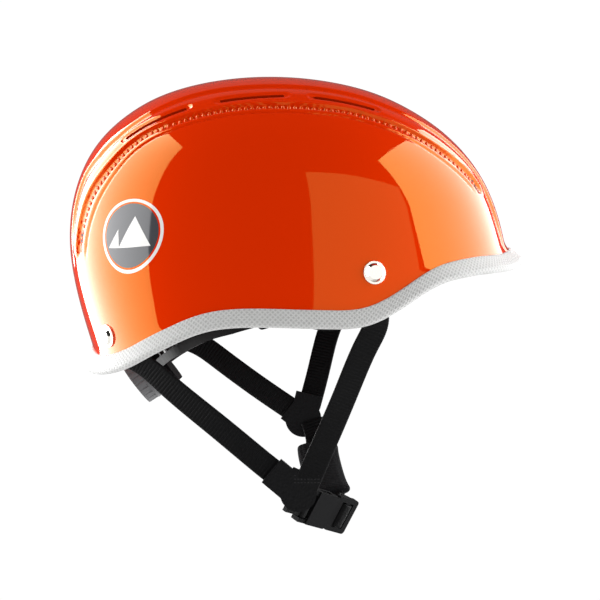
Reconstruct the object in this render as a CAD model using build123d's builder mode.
from build123d import *
import os
import math
import numpy as np

# Half-shell climbing helmet. Millimetres, X forward, Y to the wearer's left,
# Z up. The origin is where the top of the head touches the crown pad.

os.makedirs("parts", exist_ok=True)

# ---- driving dimensions ----------------------------------------------------
CROWN_X = -11.4          # crown point of the shell
CROWN_Z = 30.0
DEPTH = 150.0            # z = CROWN_Z - DEPTH*h*h on every level h
SHELL_T = 2.6            # shell wall
TRIM_H = 9.0             # height of the edge binding
TRIM_T = 1.1             # thickness of the edge binding
LINER_GAP = 0.6
LINER_END = 0.70         # lower edge of the foam liner, as share of the shell
WEB_W = 15.0             # webbing
WEB_T = 1.5
PAD_T = 3.6
RIVET_D = 13.3
POST_D = 5.9
BAND_A, BAND_B, BAND_T, BAND_H = 95.0, 78.0, 1.8, 18.0
DIAL_D = 30.0
PINION_R = 3.2           # pitch radius of the dial pinion, 8 teeth
PINION_N = 8
RACK_TRAVEL = 16.0
BUCKLE_L = 47.0
BUCKLE_W = 22.0

# level table: half lengths in front of and behind the crown, and half width
HK = np.array([0, .05, .1, .16, .22, .3, .38, .46, .54, .62, .7, .78, .86, .94, 1.02, 1.1, 1.18])
AF = np.array([0, 12.4, 25.0, 40.6, 55.8, 73.8, 89.9, 105.2, 118.6, 129.9, 138.6, 144.8, 149.0, 151.4, 152.2, 151.8, 151.0])
AB = np.array([0, 12.0, 24.3, 39.7, 54.3, 71.6, 86.1, 98.9, 109.5, 117.4, 122.8, 125.6, 125.4, 121.8, 115.4, 107.4, 100.0])
BK = np.array([0, 10.3, 20.3, 32.0, 42.8, 56.0, 67.6, 77.7, 86.4, 93.3, 98.8, 102.7, 105.3, 106.7, 106.8, 105.6, 104.0])
# lower edge of the binding in side view
RX = np.array([-145, -131, -122, -114, -105, -93, -81.6, -69, -57, -45, -33, -15, 7.6, 25, 42.8, 54.5, 66.2, 78.7, 90.6, 103, 116, 131.8, 142, 155.])
RZ = np.array([-152, -153.5, -154.5, -155, -153.9, -149.7, -143.6, -137.3, -131.9, -128.2, -126.5, -126, -126.6, -127, -126, -122, -115.3, -106.9, -100.3, -96.4, -93.6, -91.6, -91, -90.])


def nspline(xk, yk):
    """Natural cubic spline through the knots."""
    n = len(xk)
    h = np.diff(xk)
    A = np.zeros((n, n))
    r = np.zeros(n)
    A[0, 0] = A[-1, -1] = 1
    for i in range(1, n - 1):
        A[i, i - 1], A[i, i], A[i, i + 1] = h[i - 1], 2 * (h[i - 1] + h[i]), h[i]
        r[i] = 6 * ((yk[i + 1] - yk[i]) / h[i] - (yk[i] - yk[i - 1]) / h[i - 1])
    m = np.linalg.solve(A, r)

    def f(x):
        x = np.asarray(x, float)
        i = np.clip(np.searchsorted(xk, x) - 1, 0, n - 2)
        d = x - xk[i]
        e = xk[i + 1] - x
        H = h[i]
        return (m[i] * e ** 3 + m[i + 1] * d ** 3) / (6 * H) + (yk[i] / H - m[i] * H / 6) * e + (yk[i + 1] / H - m[i + 1] * H / 6) * d
    return f


af, ab, bh = nspline(HK, AF), nspline(HK, AB), nspline(HK, BK)
rim_line = nspline(RX, RZ)


def base(phi, h):
    c, s = np.cos(phi), np.sin(phi)
    F, B, b = af(h), ab(h), bh(h)
    m = 1 + 0.03 * np.sin(2 * phi) ** 2
    a = (F + B) / 2 + (F - B) / 2 * c
    return CROWN_X + a * c * m, b * s * m, CROWN_Z - DEPTH * h * h


def wrap(phi, c):
    return (phi - c + np.pi) % (2 * np.pi) - np.pi


def rim_level(phi):
    """Level of the shell's edge: the binding's lower edge, raised in the middle of both ends."""
    h = np.full(np.shape(phi), 1.0)
    lift = 1.2 + 6.0 * np.exp(-(wrap(phi, 0) / 0.25) ** 2) + 5.0 * np.exp(-(wrap(phi, np.pi) / 0.28) ** 2)
    for _ in range(25):
        x, y, z = base(phi, h)
        h = np.sqrt((CROWN_Z - rim_line(x) - lift) / DEPTH)
    return h


def smooth(t):
    t = np.clip(t, 0, 1)
    return t * t * (3 - 2 * t)


def flare(phi):
    """How far the edge turns outward."""
    return 2.2 + 6.8 * np.exp(-(wrap(phi, 0) / 0.55) ** 2) + 6.0 * np.exp(-(wrap(phi, np.pi) / 0.60) ** 2)


CREST_X = np.array([-140., -130, -126, -116, -104, -92, -60, -29, 0, 30, 60, 85, 105, 120, 139, 160])
CREST_Y = np.array([30., 34, 37, 44, 49, 50, 49.5, 49.2, 49, 47.5, 44, 38, 30, 23, 19, 17])


def point(phi, s, soft=12.0):
    """Outer surface of the shell: s runs from 0 at the crown to 1 at the edge."""
    phi = np.asarray(phi, float)
    s = np.asarray(s, float)
    hr = rim_level(phi)
    h = hr * s
    x, y, z = base(phi, h)
    zr = CROWN_Z - DEPTH * hr * hr
    k = np.clip(1 - (z - zr) / 13.0, 0, 1.3) ** 2.4 * flare(phi)
    # the middle band stands proud of the sides
    edge = np.interp(x, CREST_X, CREST_Y)
    drop = 1.7 * smooth((np.abs(y) - edge + soft / 2) / soft) * smooth((z + 100) / 45)
    c, sn = np.cos(phi), np.sin(phi)
    r = np.sqrt((c * 0.9) ** 2 + sn ** 2)
    nx, ny = 0.9 * c / r, sn / r
    up = smooth((z + 40) / 60)
    k2 = drop
    return np.stack([x + k * nx - k2 * nx * (1 - 0.6 * up), y + k * ny - k2 * ny * (1 - 0.6 * up), z - k2 * 0.8 * up], -1)


def normal(phi, s):
    e = 2e-4
    s = np.maximum(np.asarray(s, float), 0.01)
    p = point(phi, s)
    n = np.cross(point(phi + e, s) - p, point(phi, s + e) - p)
    n /= np.linalg.norm(n, axis=-1)[..., None]
    flip = np.sign(((p - np.array([0, 0, -60.])) * n).sum(-1))
    return n * flip[..., None]


def inset(phi, s, off):
    """A point the distance off inside the outer surface."""
    p = point(phi, s)
    n = normal(phi, s)
    q = p - np.asarray(off)[..., None] * n
    top = np.asarray(s) < 1e-6
    if np.any(top):
        q[top] = [CROWN_X, 0, CROWN_Z - float(np.max(off))]
    return q


def vectors(a):
    return [[Vector(float(p[0]), float(p[1]), float(p[2])) for p in row] for row in a]


def skin(levels, off, n=72):
    """Closed surface round the helmet through the given levels."""
    phi = np.linspace(0, 2 * np.pi, n + 1)
    phi[-1] = 0
    rows = []
    for i, s in enumerate(levels):
        sv = s(phi) if callable(s) else np.full(n + 1, float(s))
        ov = off[i] if isinstance(off, (list, tuple)) else off
        rows.append(inset(phi, sv, np.full(n + 1, float(ov))))
    a = np.array(rows)
    return Face.make_surface_from_array_of_points(vectors(a), tol=0.015), a


def closed_edge(face, start):
    start = Vector(*[float(v) for v in start])
    best = None
    for e in face.edges():
        if e.length < 1:
            continue
        if (e.position_at(0) - e.position_at(1)).length > 0.01:
            continue
        d = (e.position_at(0) - start).length
        if best is None or d < best[0]:
            best = (d, e)
    return best[1]


def solid_of(faces):
    s = Solid(Shell(faces))
    if s.volume < 0:
        s = Solid(Shell([-f for f in faces]))
    return s


def dome(levels, off_out, off_in):
    fo, a = skin(levels, off_out)
    fi, b = skin(levels, off_in)
    strip = Face.make_surface_from_curves(closed_edge(fo, a[-1][0]), closed_edge(fi, b[-1][0]))
    return solid_of([fo, fi, strip])


def ring_of(out_rows, in_rows):
    fo = Face.make_surface_from_array_of_points(vectors(out_rows), tol=0.015)
    fi = Face.make_surface_from_array_of_points(vectors(in_rows), tol=0.015)
    top = Face.make_surface_from_curves(closed_edge(fo, out_rows[0][0]), closed_edge(fi, in_rows[0][0]))
    low = Face.make_surface_from_curves(closed_edge(fo, out_rows[-1][0]), closed_edge(fi, in_rows[-1][0]))
    return solid_of([fo, fi, top, low])


def patch(phi0, phi1, s0, s1, off_a, off_b, n=14, m=12):
    """Open patch between two offsets of the shell surface."""
    ph = np.linspace(phi0, phi1, n)
    faces, grids = [], []
    for off in (off_a, off_b):
        rows = [inset(ph, np.full(n, s), np.full(n, float(off))) for s in np.linspace(s0, s1, m)]
        a = np.array(rows)
        grids.append(a)
        faces.append(Face.make_surface_from_array_of_points(vectors(a), tol=0.015))
    fa, fb = faces

    def near(face, p):
        p = Vector(*[float(v) for v in p])
        return min(face.edges(), key=lambda e: (e.position_at(0.5) - p).length)
    a, b = grids
    sides = []
    for ia in ((0, n // 2), (m - 1, n // 2), (m // 2, 0), (m // 2, n - 1)):
        sides.append(Face.make_surface_from_curves(near(fa, a[ia]), near(fb, b[ia])))
    return solid_of([fa, fb] + sides)


def unit(v):
    v = np.asarray(v, float)
    return v / np.linalg.norm(v)


def bezier(points, per=6):
    """Centripetal smooth path through points."""
    p = np.asarray(points, float)
    d = np.r_[0, np.cumsum(np.sqrt(np.linalg.norm(np.diff(p, axis=0), axis=1)))]
    fs = [nspline(d, p[:, k]) for k in range(3)]
    t = np.concatenate([np.linspace(d[i], d[i + 1], per, endpoint=False) for i in range(len(d) - 1)] + [[d[-1]]])
    return np.stack([f(t) for f in fs], -1), t, d


def stations(points, normals, per=6):
    """Centres, tangents and face normals along a webbing path."""
    c, t, d = bezier(points, per)
    nn = np.asarray([unit(v) for v in normals])
    n = np.stack([np.interp(t, d, nn[:, k]) for k in range(3)], -1)
    tan = np.gradient(c, axis=0)
    tan /= np.linalg.norm(tan, axis=1)[:, None]
    n = n - (n * tan).sum(1)[:, None] * tan
    n /= np.linalg.norm(n, axis=1)[:, None]
    w = np.cross(tan, n)
    return c, tan, n, w


def strap(st, width, thick, profile=None):
    c, tan, n, w = st
    width = np.broadcast_to(np.asarray(width, float), (len(c),))
    if profile is None:
        profile = [(-.5, -.5), (.5, -.5), (.5, .5), (-.5, .5)]
    wires = []
    for i in range(len(c)):
        pts = [c[i] + u * width[i] * w[i] + v * thick * n[i] for u, v in profile]
        wires.append(Wire.make_polygon([Vector(*[float(k) for k in q]) for q in pts], close=True))
    return Solid.make_loft(wires, ruled=True)


def save(part, label):
    part.label = label
    export_step(part, "parts/%s.step" % label)


def P(v):
    return tuple(float(k) for k in v)


# ---- shell, binding, liner ---------------------------------------------------
LEV = [0, .06, .13, .2, .27, .34, .41, .48, .55, .62, .69, .75, .81, .86, .9, .93, .955, .975, 1.0]
shell_solid = dome(LEV, 0.0, SHELL_T)

# vents: three long slots a side on the outer band
VENTS = [((-98.3, 54.2, -12.7), (-60.8, 59.5, 5.4)),
         ((-41.1, 60.7, 9.5), (-1.8, 58.6, 13.0)),
         ((15.5, 57.4, 12.2), (53.2, 52.3, 5.1))]
VENT_W = 3.0
vent_tools = []
for sgn in (1, -1):
    for p, q in VENTS:
        p = np.array([p[0], p[1] * sgn, p[2]])
        q = np.array([q[0], q[1] * sgn, q[2]])
        mid = (p + q) / 2
        xd = unit(q - p)
        nd = unit(mid - np.array([mid[0] * 0.35, 0, -55]))
        nd = unit(nd - (nd @ xd) * xd)
        pl = Plane(origin=P(mid), x_dir=P(xd), z_dir=P(nd))
        L = float(np.linalg.norm(q - p))
        with BuildPart() as slot:
            with BuildSketch(pl.offset(-45)):
                SlotOverall(L, VENT_W)
            extrude(amount=75)
        vent_tools.append(slot.part)

# rivet axes: front and rear on both sides
RIVETS = []
for phi_d, s_r in ((64.51, 0.904), (143.14, 0.943)):
    for sgn in (1, -1):
        ph = math.radians(phi_d * sgn)
        o = point(np.array([ph]), np.array([s_r]))[0]
        n_r = normal(np.array([ph]), np.array([s_r]))[0]
        RIVETS.append((o, n_r))


def axis_plane(o, n_r):
    t = unit(np.cross(n_r, [0, 0, 1.0]))
    return Plane(origin=P(o), x_dir=P(t), z_dir=P(n_r))


with BuildPart() as outer_shell:
    add(shell_solid)
    for tool in vent_tools:
        add(tool, mode=Mode.SUBTRACT)
    for o, n_r in RIVETS:
        with BuildSketch(axis_plane(o, n_r).offset(-6)):
            Circle(3.0)
        extrude(amount=12, mode=Mode.SUBTRACT)
save(outer_shell.part, "outer_shell")

# edge binding: a channel over the edge of the shell
phi_r = np.linspace(0, 2 * np.pi, 97)
phi_r[-1] = 0
speed = np.linalg.norm(point(phi_r, np.full(97, .985)) - point(phi_r, np.full(97, .975)), axis=1) / .01
out_rows, in_rows = [], []
for d in (-TRIM_H, -6.6, -4.4, -2.4, -0.8, 1.1):
    s = 1 + d / speed
    out_rows.append(inset(phi_r, s, np.full(97, -TRIM_T)))
    in_rows.append(inset(phi_r, s, np.full(97, SHELL_T + TRIM_T)))
trim_block = ring_of(np.array(out_rows), np.array(in_rows))
with BuildPart() as edge_trim:
    add(trim_block)
    add(shell_solid, mode=Mode.SUBTRACT)
save(edge_trim.part, "edge_trim")

# foam liner, thick at the crown and thin at its lower edge
lin_lev = [0, .06, .13, .2, .27, .34, .41, .48, .55, .62, .66, LINER_END]
lin_in = [26.0, 26.0, 25.8, 25.4, 24.6, 23.6, 22.2, 20.6, 18.8, 16.8, 15.6, 14.0]
fo, ra = skin(lin_lev, SHELL_T + LINER_GAP)
fi, rb = skin(lin_lev, lin_in)
liner_solid = solid_of([fo, fi, Face.make_surface_from_curves(closed_edge(fo, ra[-1][0]), closed_edge(fi, rb[-1][0]))])
with BuildPart() as impact_liner:
    add(liner_solid)
    for tool in vent_tools:
        add(tool, mode=Mode.SUBTRACT)
save(impact_liner.part, "impact_liner")

# comfort pads on the liner
pad_lev = [0, .06, .13, .2, .27]
fo, ra = skin(pad_lev, [26.4, 26.4, 26.2, 25.8, 25.0])
fi, rb = skin(pad_lev, [30.0, 30.0, 29.8, 29.4, 28.0])
crown_solid = solid_of([fo, fi, Face.make_surface_from_curves(closed_edge(fo, ra[-1][0]), closed_edge(fi, rb[-1][0]))])
with BuildPart() as crown_pad:
    add(crown_solid)
save(crown_pad.part, "crown_pad")
for sgn, nm in ((1, "side_pad_left"), (-1, "side_pad_right")):
    a0, a1 = math.radians(62 * sgn), math.radians(118 * sgn)
    with BuildPart() as side_pad:
        add(patch(min(a0, a1), max(a0, a1), .38, .62, 24.4, 28.2))
    save(side_pad.part, nm)

# ---- rivets -------------------------------------------------------------------
with BuildPart() as rivet_caps:
    for o, n_r in RIVETS:
        pl = axis_plane(o, n_r)
        with BuildSketch(pl.offset(-1.0)):
            Circle(RIVET_D / 2)
        extrude(amount=2.1)
        with BuildSketch(pl.offset(1.1)):
            Circle(RIVET_D / 2 - 1.0)
        extrude(amount=1.9, taper=38)
        with BuildSketch(pl.offset(-1.5)):
            Circle(POST_D / 2 + 0.05)
        extrude(amount=2.6, mode=Mode.SUBTRACT)
    add(shell_solid, mode=Mode.SUBTRACT)
save(rivet_caps.part, "rivet_caps")

STRAP_OFF = SHELL_T + 1.3
with BuildPart() as rivet_posts:
    for o, n_r in RIVETS:
        pl = axis_plane(o, n_r)
        with BuildSketch(pl.offset(-8.0)):
            Circle(POST_D / 2)
        extrude(amount=9.0)
        with BuildSketch(pl.offset(-8.6)):
            Circle(4.2)
        extrude(amount=0.9)
save(rivet_posts.part, "rivet_posts")
with BuildPart() as rivet_washers:
    for o, n_r in RIVETS:
        pl = axis_plane(o, n_r)
        with BuildSketch(pl.offset(-7.6)):
            Circle(6.0)
            Circle(POST_D / 2 + 0.05, mode=Mode.SUBTRACT)
        extrude(amount=1.2)
save(rivet_washers.part, "rivet_washers")

# ---- webbing ------------------------------------------------------------------
(fl, fln), (fr, frn), (rl, rln), (rr, rrn) = RIVETS
A_OFF = 5.3


def on_rivet(o, n_r, t, along):
    t = np.asarray(t, float)
    t = unit(t - (t @ n_r) * n_r)
    return o - A_OFF * n_r + along * t


DN = np.array([0.06, 0, -1.0])
RT = np.array([0.43, 0, -0.85])
right_face, left_face = np.array([0.1, -1, 0.0]), np.array([0.1, 1, 0.0])
SFR = stations([on_rivet(fr, frn, DN, -8), on_rivet(fr, frn, DN, 0), on_rivet(fr, frn, DN, 13), (52.8, -91.8, -122.5), (46.5, -88.6, -138), (34, -82.2, -168), (19.6, -75.4, -202), (10.2, -71.8, -224)],
               [frn, frn, frn, (0.25, -1, 0), (0.25, -1, 0), (0.3, -1, 0), (0.2, -1, 0), (0, -1, 0)])
DL = np.array([-0.55, 0, -0.72])
SFL = stations([on_rivet(fl, fln, DL, -8), on_rivet(fl, fln, DL, 0), on_rivet(fl, fln, DL, 13), (33.0, 93.6, -119), (26.2, 88.5, -134), (20.0, 80, -158), (13.8, 72.4, -181)],
               [fln, fln, fln, (0.15, 1, 0), (0.12, 1, 0), (0.1, 1, 0), (0, 1, 0)])
SRR = stations([on_rivet(rr, rrn, RT, -8), on_rivet(rr, rrn, RT, 0), on_rivet(rr, rrn, RT, 11), (-88.5, -66.2, -148.4), (-70, -67, -163.3), (-40, -68.2, -187.8), (-14, -69.2, -209.2), (-0.8, -69.5, -219.4)],
               [rrn, rrn, rrn, (-0.6, -0.8, -0.2), (-0.45, -1, -0.1), (-0.3, -1, 0), (-0.1, -1, 0), (0, -1, 0)])
RL = np.array([1.0, 0, -0.1])
SRL = stations([on_rivet(rl, rln, RL, -8), on_rivet(rl, rln, RL, 0), on_rivet(rl, rln, RL, 12), (-84, 80.8, -135.0), (-70, 84.0, -136.6), (-58.5, 83.8, -141.2), (-45, 81.6, -150.6), (-22, 76.0, -167.2), (1.5, 70.7, -183.0)],
               [rln, rln, rln, (-0.3, 1, 0), (-0.1, 1, 0), (0, 1, 0), (0, 1, 0), (0, 1, 0), (0, 1, 0)])
hole_tools = []
for o, n_r in RIVETS:
    with BuildPart() as hole:
        with BuildSketch(axis_plane(o, n_r).offset(-9)):
            Circle(POST_D / 2 + 0.05)
        extrude(amount=12)
    hole_tools.append(hole.part)
straps = {}
for nm, st, tool in (("strap_front_left", SFL, hole_tools[0]), ("strap_front_right", SFR, hole_tools[1]),
                     ("strap_rear_left", SRL, hole_tools[2]), ("strap_rear_right", SRR, hole_tools[3])):
    body = strap(st, WEB_W, WEB_T)
    with BuildPart() as webbing:
        add(body)
        add(tool, mode=Mode.SUBTRACT)
    straps[nm] = webbing.part
    save(webbing.part, nm)

# ---- buckle frame ---------------------------------------------------------------
B_END = np.array([9.0, -61.0, -233.5])                 # connector end of the socket
B_AX = unit([-29.0, -35.0, 11.5])                      # from ladder end to socket end
B_0 = B_END - BUCKLE_L * B_AX
W_HINT = np.array([-0.46, 0.09, -0.88])
B_N = unit(np.cross(B_AX, W_HINT))
BP = Plane(origin=P(B_0), x_dir=P(B_AX), z_dir=P(B_N))
B_W = np.cross(B_N, B_AX)


def at(x, y=0.0, z=0.0):
    return B_0 + x * B_AX + y * B_W + z * B_N


# socket half: rounded body, cavity, side windows, webbing bar between two lugs
with BuildPart() as buckle_female:
    with BuildSketch(BP.offset(-4.0)):
        with Locations((31, 0)):
            Rectangle(18, BUCKLE_W)
    extrude(amount=8.0)
    with BuildSketch(BP.offset(-3.0)):
        with Locations((42.5, 9.7), (42.5, -9.7)):
            Rectangle(9.0, 2.6)
    extrude(amount=6.0)
    fillet(buckle_female.edges().filter_by(lambda e: abs(e.length - 8.0) < 0.01), 1.6)
    with BuildSketch(BP.offset(-2.4)):
        with Locations((29.5, 0)):
            Rectangle(16, 18.4)
    extrude(amount=4.8, mode=Mode.SUBTRACT)
    with BuildSketch(BP.offset(-2.0)):
        with Locations((31.5, 0)):
            Rectangle(9, 30)
    extrude(amount=4.0, mode=Mode.SUBTRACT)
    with Locations(BP * Pos(43.6, 0, 0) * Rot(90, 0, 0)):
        Cylinder(1.5, 19.0)
save(buckle_female.part, "buckle_female")

# ladder half: two slots for the webbing, centre tongue
with BuildPart() as buckle_male:
    with BuildSketch(BP.offset(-2.0)) as male_sk:
        with Locations((9.8, 0)):
            RectangleRounded(19.6, 23.0, 2.2)
        with Locations((5.6, 0)):
            Rectangle(3.4, 17.0, mode=Mode.SUBTRACT)
        with Locations((12.6, 0)):
            Rectangle(3.4, 17.0, mode=Mode.SUBTRACT)
    extrude(amount=4.0)
    with BuildSketch(BP.offset(-2.2)):
        with Locations((20.6, 0)):
            Rectangle(2.4, 21.0)
    extrude(amount=4.4)
    with BuildSketch(BP.offset(-1.7)):
        with Locations((28, 0)):
            Rectangle(13, 5.0)
    extrude(amount=3.4)
save(buckle_male.part, "buckle_male")

for sgn, nm in ((1, "prong_left"), (-1, "prong_right")):
    with BuildPart() as prong:
        with BuildSketch(BP.offset(-1.8)):
            pts = [(23.0, 5.9), (36.0, 6.4), (36.0, 7.6), (35.2, 9.0), (33.0, 10.4), (28.2, 10.4), (28.0, 8.2), (23.0, 8.0)]
            with BuildLine():
                Polyline(*[(a, b * sgn) for a, b in pts], close=True)
            make_face()
            with Locations((23.0, 6.95 * sgn)):
                Circle(1.05)
        extrude(amount=3.6)
    save(prong.part, nm)

# short loop of webbing between the right connector and the socket
TAB_END = 59.5
with BuildPart() as tab_loop:
    with Locations(BP * Pos(43.6, 0, 0) * Rot(90, 0, 0)):
        Cylinder(3.2, WEB_W)
    with Locations(BP * Pos((43.6 + TAB_END) / 2, 0, 0)):
        Box(TAB_END - 43.6, WEB_W, 2.8)
    with Locations(BP * Pos(43.6, 0, 0) * Rot(90, 0, 0)):
        Cylinder(1.65, 40, mode=Mode.SUBTRACT)
save(tab_loop.part, "buckle_tab")

# chin webbing from the left connector through the pad and round the ladder
CH = [(15.5, 66.2, -190.5), (18.6, 61, -200.5), (19.4, 50, -209.6), (21.6, 33, -219.4), (25.0, 13, -229.3), (30.2, -6, -237.6)]
CN = [(0, 1, 0), (0.1, 0.9, -0.45), (0.0, 0.62, -0.78), (-0.05, 0.5, -0.86), (0.0, 0.45, -0.9), (0.15, 0.3, -0.95)]
IN_D = unit([0.62, 0, 0.785])                          # run towards the ladder, in the buckle's own axes
IN_N = P(IN_D[0] * B_N - IN_D[2] * B_AX)
CH += [P(at(-2.5, 0, -11.5))]
CN += [IN_N]
SCH = stations(CH, CN, 5)

def chain(pts, width, thick):
    """Webbing bent round bars: straight links joined on their mitre planes."""
    pts = [np.asarray(p) for p in pts]
    out = []
    for i in range(len(pts)):
        t0 = unit(pts[i] - pts[i - 1]) if i else None
        t1 = unit(pts[i + 1] - pts[i]) if i < len(pts) - 1 else None
        t = unit((t0 if t0 is not None else t1) + (t1 if t1 is not None else t0))
        m = np.cross(B_W, t)
        k = 1.0
        if t0 is not None and t1 is not None:
            k = 1.0 / max(0.62, math.sqrt((1 + float(t0 @ t1)) / 2))
        out.append((pts[i], t, m * k))
    wires = []
    for c, t, m in out:
        q = [c + u * width * B_W + v * thick * m for u, v in ((-.5, -.5), (.5, -.5), (.5, .5), (-.5, .5))]
        wires.append(Wire.make_polygon([Vector(*P(k)) for k in q], close=True))
    return Solid.make_loft(wires, ruled=True)


with BuildPart() as chin_webbing:
    add(strap(SCH, WEB_W, WEB_T))
    add(chain([at(-2.7, 0, -11.75), at(4.6, 0, -2.5), at(6.6, 0, 2.3), at(8.0, 0, 2.95), at(10.4, 0, 2.95), at(11.9, 0, 2.2), at(13.0, 0, -2.3), at(12.0, 0, -3.6), at(9.4, 0, -4.6), at(6.3, 0, -5.2), at(-0.9, 0, -12.8), at(-3.6, 0, -16.6)], WEB_W, 1.3))
    add(buckle_male.part, mode=Mode.SUBTRACT)
save(chin_webbing.part, "chin_webbing")

# soft sleeve over the chin webbing
c, tan, n, w = SCH
i0, i1 = 8, 23
prof = [(0.5 * np.sign(math.cos(a)) * abs(math.cos(a)) ** 0.55, 0.5 * np.sign(math.sin(a)) * abs(math.sin(a)) ** 0.8) for a in np.linspace(0, 2 * math.pi, 20, endpoint=False)]
pad_st = (c[i0:i1], tan[i0:i1], n[i0:i1], w[i0:i1])
bore_st = tuple(q[i0 - 1:i1 + 1] for q in (c, tan, n, w))
with BuildPart() as chin_pad:
    add(strap(pad_st, 26.0, 8.5, prof))
    add(strap(bore_st, 15.8, 2.3), mode=Mode.SUBTRACT)
save(chin_pad.part, "chin_pad")

# elastic keeper round the webbing beside the ladder
with BuildPart() as strap_keeper:
    with Locations(Plane(origin=P(at(-0.8, 0, -11.0)), x_dir=P(IN_D[0] * B_AX + IN_D[2] * B_N), z_dir=IN_N)):
        Box(4.0, 18.8, 6.8)
        Box(8.0, 16.4, 5.0, mode=Mode.SUBTRACT)
save(strap_keeper.part, "strap_keeper")

# ---- Y connectors ---------------------------------------------------------------


def connector(cx, cz, radius, y0, y1, arms, cut):
    """Rounded leather piece with one arm along each webbing that enters it."""
    lo, hi = min(y0, y1), max(y0, y1)
    pl = Plane(origin=(0, hi, 0), x_dir=(1, 0, 0), z_dir=(0, -1, 0))
    with BuildPart() as piece:
        with BuildSketch(pl):
            with Locations((cx, cz)):
                Circle(radius)
            for ang, ln in arms:
                a = math.radians(ang)
                with Locations(Location((cx + ln / 2 * math.cos(a), cz + ln / 2 * math.sin(a), 0), (0, 0, ang))):
                    Rectangle(ln, 18.0)
        extrude(amount=hi - lo)
        for body in cut:
            add(body, mode=Mode.SUBTRACT)
    return piece.part


yr = connector(6.6, -226.3, 11.0, -73.6, -67.2, ((66, 13), (140, 21)), [straps["strap_front_right"], straps["strap_rear_right"], tab_loop.part])
save(yr, "y_connector_right")
yl = connector(9.8, -189.6, 12.0, 68.2, 74.4, ((76, 17), (142, 12)), [straps["strap_front_left"], straps["strap_rear_left"], chin_webbing.part])
save(yl, "y_connector_left")

# ---- head band -------------------------------------------------------------------
BX = np.array([-110., -60, -34, -10, 6, 18, 32, 46, 59, 78, 95, 110])
BZ = np.array([-120., -118.4, -116.6, -116.2, -117.0, -119.4, -119.2, -112.6, -102, -82, -72, -70])
band_line = nspline(BX, BZ)
ph = np.linspace(0, 2 * np.pi, 73)
ph[-1] = 0


def band_rows(grow, h):
    rows = []
    for dz in (h / 2, h / 4, 0, -h / 4, -h / 2):
        x = -2 + (BAND_A + grow) * np.cos(ph)
        y = (BAND_B + grow) * np.sin(ph)
        rows.append(np.stack([x, y, band_line(-2 + BAND_A * np.cos(ph)) + dz], -1))
    return np.array(rows)


def cone_box(x0, x1, z0=-200, z1=0):
    return Pos((x0 + x1) / 2, 0, (z0 + z1) / 2) * Box(x1 - x0, 260, z1 - z0, mode=Mode.PRIVATE)


SLIDE = unit([-0.961, 0, -0.276])                 # direction in which the cradle loosens
GUIDE_X = -12.0
GUIDE_Z = -119.6
with BuildPart() as headband:
    add(ring_of(band_rows(BAND_T / 2, BAND_H), band_rows(-BAND_T / 2, BAND_H)))
    add(cone_box(-200, -24), mode=Mode.SUBTRACT)
    with Locations(Location((GUIDE_X, 0, GUIDE_Z), (90, 0, 0))):
        Cylinder(2.55, 200, mode=Mode.SUBTRACT)
save(headband.part, "headband")

with BuildPart() as brow_pad:
    add(ring_of(band_rows(-BAND_T / 2 - 0.4, 22.0), band_rows(-BAND_T / 2 - 5.4, 22.0)))
    add(cone_box(-200, 52), mode=Mode.SUBTRACT)
save(brow_pad.part, "brow_pad")

# four flat arms hold the band off the shell
with BuildPart() as headband_arms:
    for sgn in (1, -1):
        for a_deg, s_l in ((40, 0.86), (84, 0.90)):
            a = math.radians(a_deg * sgn)
            x0 = -2 + BAND_A * math.cos(a)
            y0 = BAND_B * math.sin(a)
            z0 = float(band_line(x0))
            best = None
            for pp in np.linspace(a - 0.35, a + 0.35, 71):
                q = inset(np.array([pp]), np.array([s_l]), np.array([SHELL_T]))[0]
                d = unit([math.cos(a) / BAND_A, math.sin(a) / BAND_B, 0])
                off = abs((q[0] - x0) * d[1] - (q[1] - y0) * d[0])
                if best is None or off < best[0]:
                    best = (off, q, pp)
            q = best[1]
            p0 = np.array([x0, y0, z0])
            d = unit(q - p0)
            nn = unit(np.cross(d, np.cross([0, 0, 1.0], d)))
            wd = unit(np.cross(nn, d))
            n_w = normal(np.array([best[2]]), np.array([s_l]))[0]
            end = q - 4.3 * n_w
            d = unit(end - p0)
            nn = unit(np.cross(d, np.cross([0, 0, 1.0], d)))
            wd = unit(np.cross(nn, d))
            span = float(np.linalg.norm(end - p0))
            pl = Plane(origin=P(p0), x_dir=P(d), z_dir=P(wd))
            with BuildSketch(pl.offset(-0.9)):
                with Locations((span / 2, 0)):
                    Rectangle(span, 11.0)
            extrude(amount=1.8)
            tw = unit(np.cross([0, 0, 1.0], n_w))
            with BuildSketch(Plane(origin=P(q - 3.6 * n_w), x_dir=P(tw), z_dir=P(n_w))):
                RectangleRounded(12, 9, 3)
            extrude(amount=1.7)
    add(ring_of(band_rows(BAND_T / 2, 44), band_rows(-BAND_T / 2 - 12, 44)), mode=Mode.SUBTRACT)
save(headband_arms.part, "headband_arms")

# ---- nape gear ---------------------------------------------------------------------
ARM_Y = 81.6
GUP = unit(np.cross([0, 1.0, 0], SLIDE))
if GUP[2] < 0:
    GUP = -GUP


def guide_plane(sgn):
    return Plane(origin=(GUIDE_X, ARM_Y * sgn, GUIDE_Z), x_dir=P(-SLIDE), z_dir=(0, sgn, 0))


for sgn, nm in ((1, "arm_guide_left"), (-1, "arm_guide_right")):
    gp = guide_plane(sgn)
    with BuildPart() as guide:
        with BuildSketch(gp.offset(-2.5)):
            RectangleRounded(14, 15, 2.5)
        extrude(amount=5.0)
        with BuildSketch(gp.offset(-1.15)):
            Rectangle(20, 10.3)
        extrude(amount=2.3, mode=Mode.SUBTRACT)
        with BuildSketch(gp.offset(-6.4)):
            Circle(2.5)
        extrude(amount=4.0)
        with BuildSketch(gp.offset(-7.6)):
            Circle(3.8)
        extrude(amount=1.3)
    save(guide.part, nm)

C0 = np.array([-85.5, 0.0, -156.5])
ND = unit([-0.788, 0, -0.616])
DP = Plane(origin=P(C0), x_dir=(0, 1, 0), z_dir=P(ND))


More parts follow.
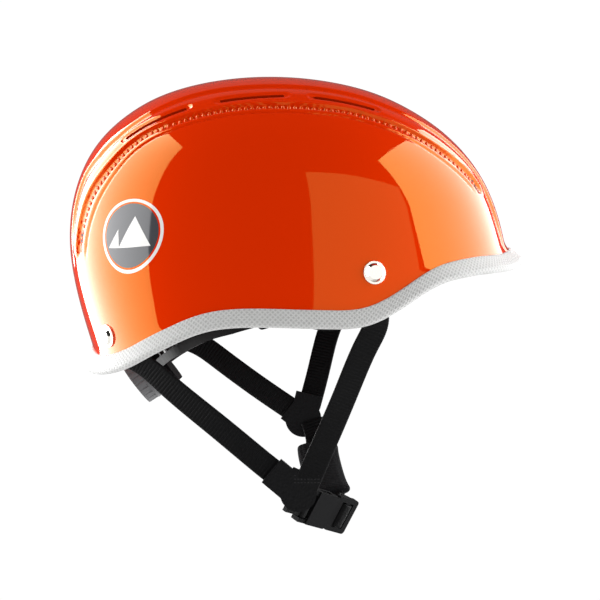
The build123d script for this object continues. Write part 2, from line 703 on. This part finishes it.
COMB_SIDE = 1.0


def arm_points(sgn):
    g = np.array([GUIDE_X, ARM_Y * sgn, GUIDE_Z])
    pts = [g - 12.0 * SLIDE, g, g + 11 * SLIDE, g + 20 * SLIDE - np.array([0, 0.7 * sgn, 0])]
    pts += [np.array([-46.5, 75.4 * sgn, -130.6]), np.array([-60.0, 67.0 * sgn, -137.4]), np.array([-71.5, 55 * sgn, -143.9]),
            np.array([-79.0, 40 * sgn, -149.5]), np.array([-82.5, 24 * sgn, -152.1])]
    nn = [(0, sgn, 0)] * 4 + [(-0.3, 0.95 * sgn, -0.1), (-0.6, 0.8 * sgn, -0.25), (-0.75, 0.6 * sgn, -0.4), P(ND + np.array([0, 0.25 * sgn, 0])), P(ND)]
    return stations(pts, nn, 5)


def plate(z0, z1, w, h, r):
    with BuildPart() as body:
        with BuildSketch(DP.offset(z0)):
            RectangleRounded(w, h, r)
        extrude(amount=z1 - z0)
    return body.part


with BuildPart() as nape_cradle:
    with BuildSketch(DP.offset(-5.6)):
        RectangleRounded(64, 30, 9)
    extrude(amount=2.4)
    for sgn in (1, -1):
        arm = arm_points(sgn)
        add(strap(arm, np.interp(arm[0][:, 0], [-70.0, -52.0, -34.0], [5.6, 6.6, 10.0]), 2.0))
        for k in range(3):
            i = len(arm[0]) - 9 - 2 * k
            tooth = Plane(origin=P(arm[0][i]), x_dir=P(arm[1][i]), z_dir=P(arm[2][i]))
            with Locations(tooth * Pos(0, COMB_SIDE * sgn * 4.2, 0)):
                Box(1.7, 5.2, 2.0)
    for sgn in (1, -1):
        with BuildSketch(DP.offset(-6.3)):
            with Locations((25.5 * sgn, -1)):
                RectangleRounded(13, 13, 2.5)
        extrude(amount=3.3)
save(nape_cradle.part, "nape_cradle")

with BuildPart() as nape_pad:
    with BuildSketch(DP.offset(-12.0)):
        RectangleRounded(50, 27, 9)
    extrude(amount=6.3, taper=-6)
    add(nape_cradle.part, mode=Mode.SUBTRACT)
save(nape_pad.part, "nape_pad")

# housing: a flat box for the two racks with a round tower for the dial
RZ0, RZ1 = -2.6, -0.6
with BuildPart() as dial_housing:
    with BuildSketch(DP.offset(-3.2)):
        RectangleRounded(34, 24, 5)
    extrude(amount=4.2)
    with BuildSketch(DP.offset(1.0)):
        Circle(12.5)
    extrude(amount=3.0)
    with BuildSketch(DP.offset(RZ0 - 0.1)):
        with Locations((0, PINION_R + 1.5), (0, -PINION_R - 1.5)):
            Rectangle(40, 4.4)
        Circle(PINION_R + 1.4)
    extrude(amount=RZ1 - RZ0 + 0.2, mode=Mode.SUBTRACT)
    with BuildSketch(DP.offset(-1.0)):
        Circle(2.65)
    extrude(amount=6.0, mode=Mode.SUBTRACT)
    add(nape_cradle.part, mode=Mode.SUBTRACT)
save(dial_housing.part, "dial_housing")

MOD = 2 * PINION_R / PINION_N
PITCH = math.pi * MOD


def rack(sgn):
    """Rack whose teeth face the pinion; sgn picks its side."""
    ln = 34.0
    shift = -sgn * 0.0
    pts = [(-ln / 2, 2.6), (-ln / 2, -0.9 * MOD * 0.5)]
    x = -ln / 2 + 0.2
    k = math.ceil((-ln / 2 + PITCH / 2) / PITCH)
    while (k + 0.5) * PITCH + PITCH / 4 < ln / 2 - 0.3:
        c = (k + 0.5) * PITCH
        pts += [(c - PITCH * 0.36, -0.9 * MOD * 0.5 + 0.55), (c - PITCH * 0.12, -0.9 * MOD * 0.5 - 0.45), (c + PITCH * 0.12, -0.9 * MOD * 0.5 - 0.45), (c + PITCH * 0.36, -0.9 * MOD * 0.5 + 0.55)]
        k += 1
    pts = [pts[0], (-ln / 2, -0.9 * MOD * 0.5 + 0.55)] + pts[2:] + [(ln / 2, -0.9 * MOD * 0.5 + 0.55), (ln / 2, 2.6)]
    return [(a * 1.0, (b + PINION_R + 0.55) * sgn) for a, b in pts]


for sgn, nm in ((1, "rack_left"), (-1, "rack_right")):
    with BuildPart() as rack_bar:
        with BuildSketch(DP.offset(RZ0)):
            with BuildLine():
                Polyline(*rack(sgn), close=True)
            make_face()
        extrude(amount=RZ1 - RZ0)
    save(rack_bar.part, nm)

with BuildPart() as dial_pinion:
    with BuildSketch(DP.offset(RZ0)):
        pts = []
        for i in range(PINION_N):
            a = 2 * math.pi * i / PINION_N + math.pi / 2
            for da, r in ((-0.30, PINION_R - 0.85), (-0.10, PINION_R + 0.45), (0.10, PINION_R + 0.45), (0.30, PINION_R - 0.85)):
                pts.append((r * math.cos(a + da), r * math.sin(a + da)))
        with BuildLine():
            Polyline(*pts, close=True)
        make_face()
    extrude(amount=RZ1 - RZ0)
    with BuildSketch(DP.offset(RZ1)):
        Circle(2.6)
    extrude(amount=7.0 - RZ1)
save(dial_pinion.part, "dial_pinion")

with BuildPart() as dial_wheel:
    with BuildSketch(DP.offset(4.3)):
        Circle(DIAL_D / 2 - 0.6)
    extrude(amount=2.0)
    with BuildSketch(DP.offset(6.3)):
        Circle(DIAL_D / 2 - 0.9)
    extrude(amount=6.6, taper=5)
    with BuildSketch(DP.offset(6.3)):
        with PolarLocations(DIAL_D / 2 - 0.3, 20):
            Circle(1.25)
    extrude(amount=8.0, mode=Mode.SUBTRACT)
    with BuildSketch(DP.offset(4.0)):
        Circle(2.6)
    extrude(amount=3.0, mode=Mode.SUBTRACT)
    with BuildSketch(DP.offset(11.4)):
        Circle(7.1)
    extrude(amount=4.0, mode=Mode.SUBTRACT)
save(dial_wheel.part, "dial_wheel")
with BuildPart() as dial_cap:
    with BuildSketch(DP.offset(11.4)):
        Circle(7.0)
    extrude(amount=1.9, taper=12)
save(dial_cap.part, "dial_cap")
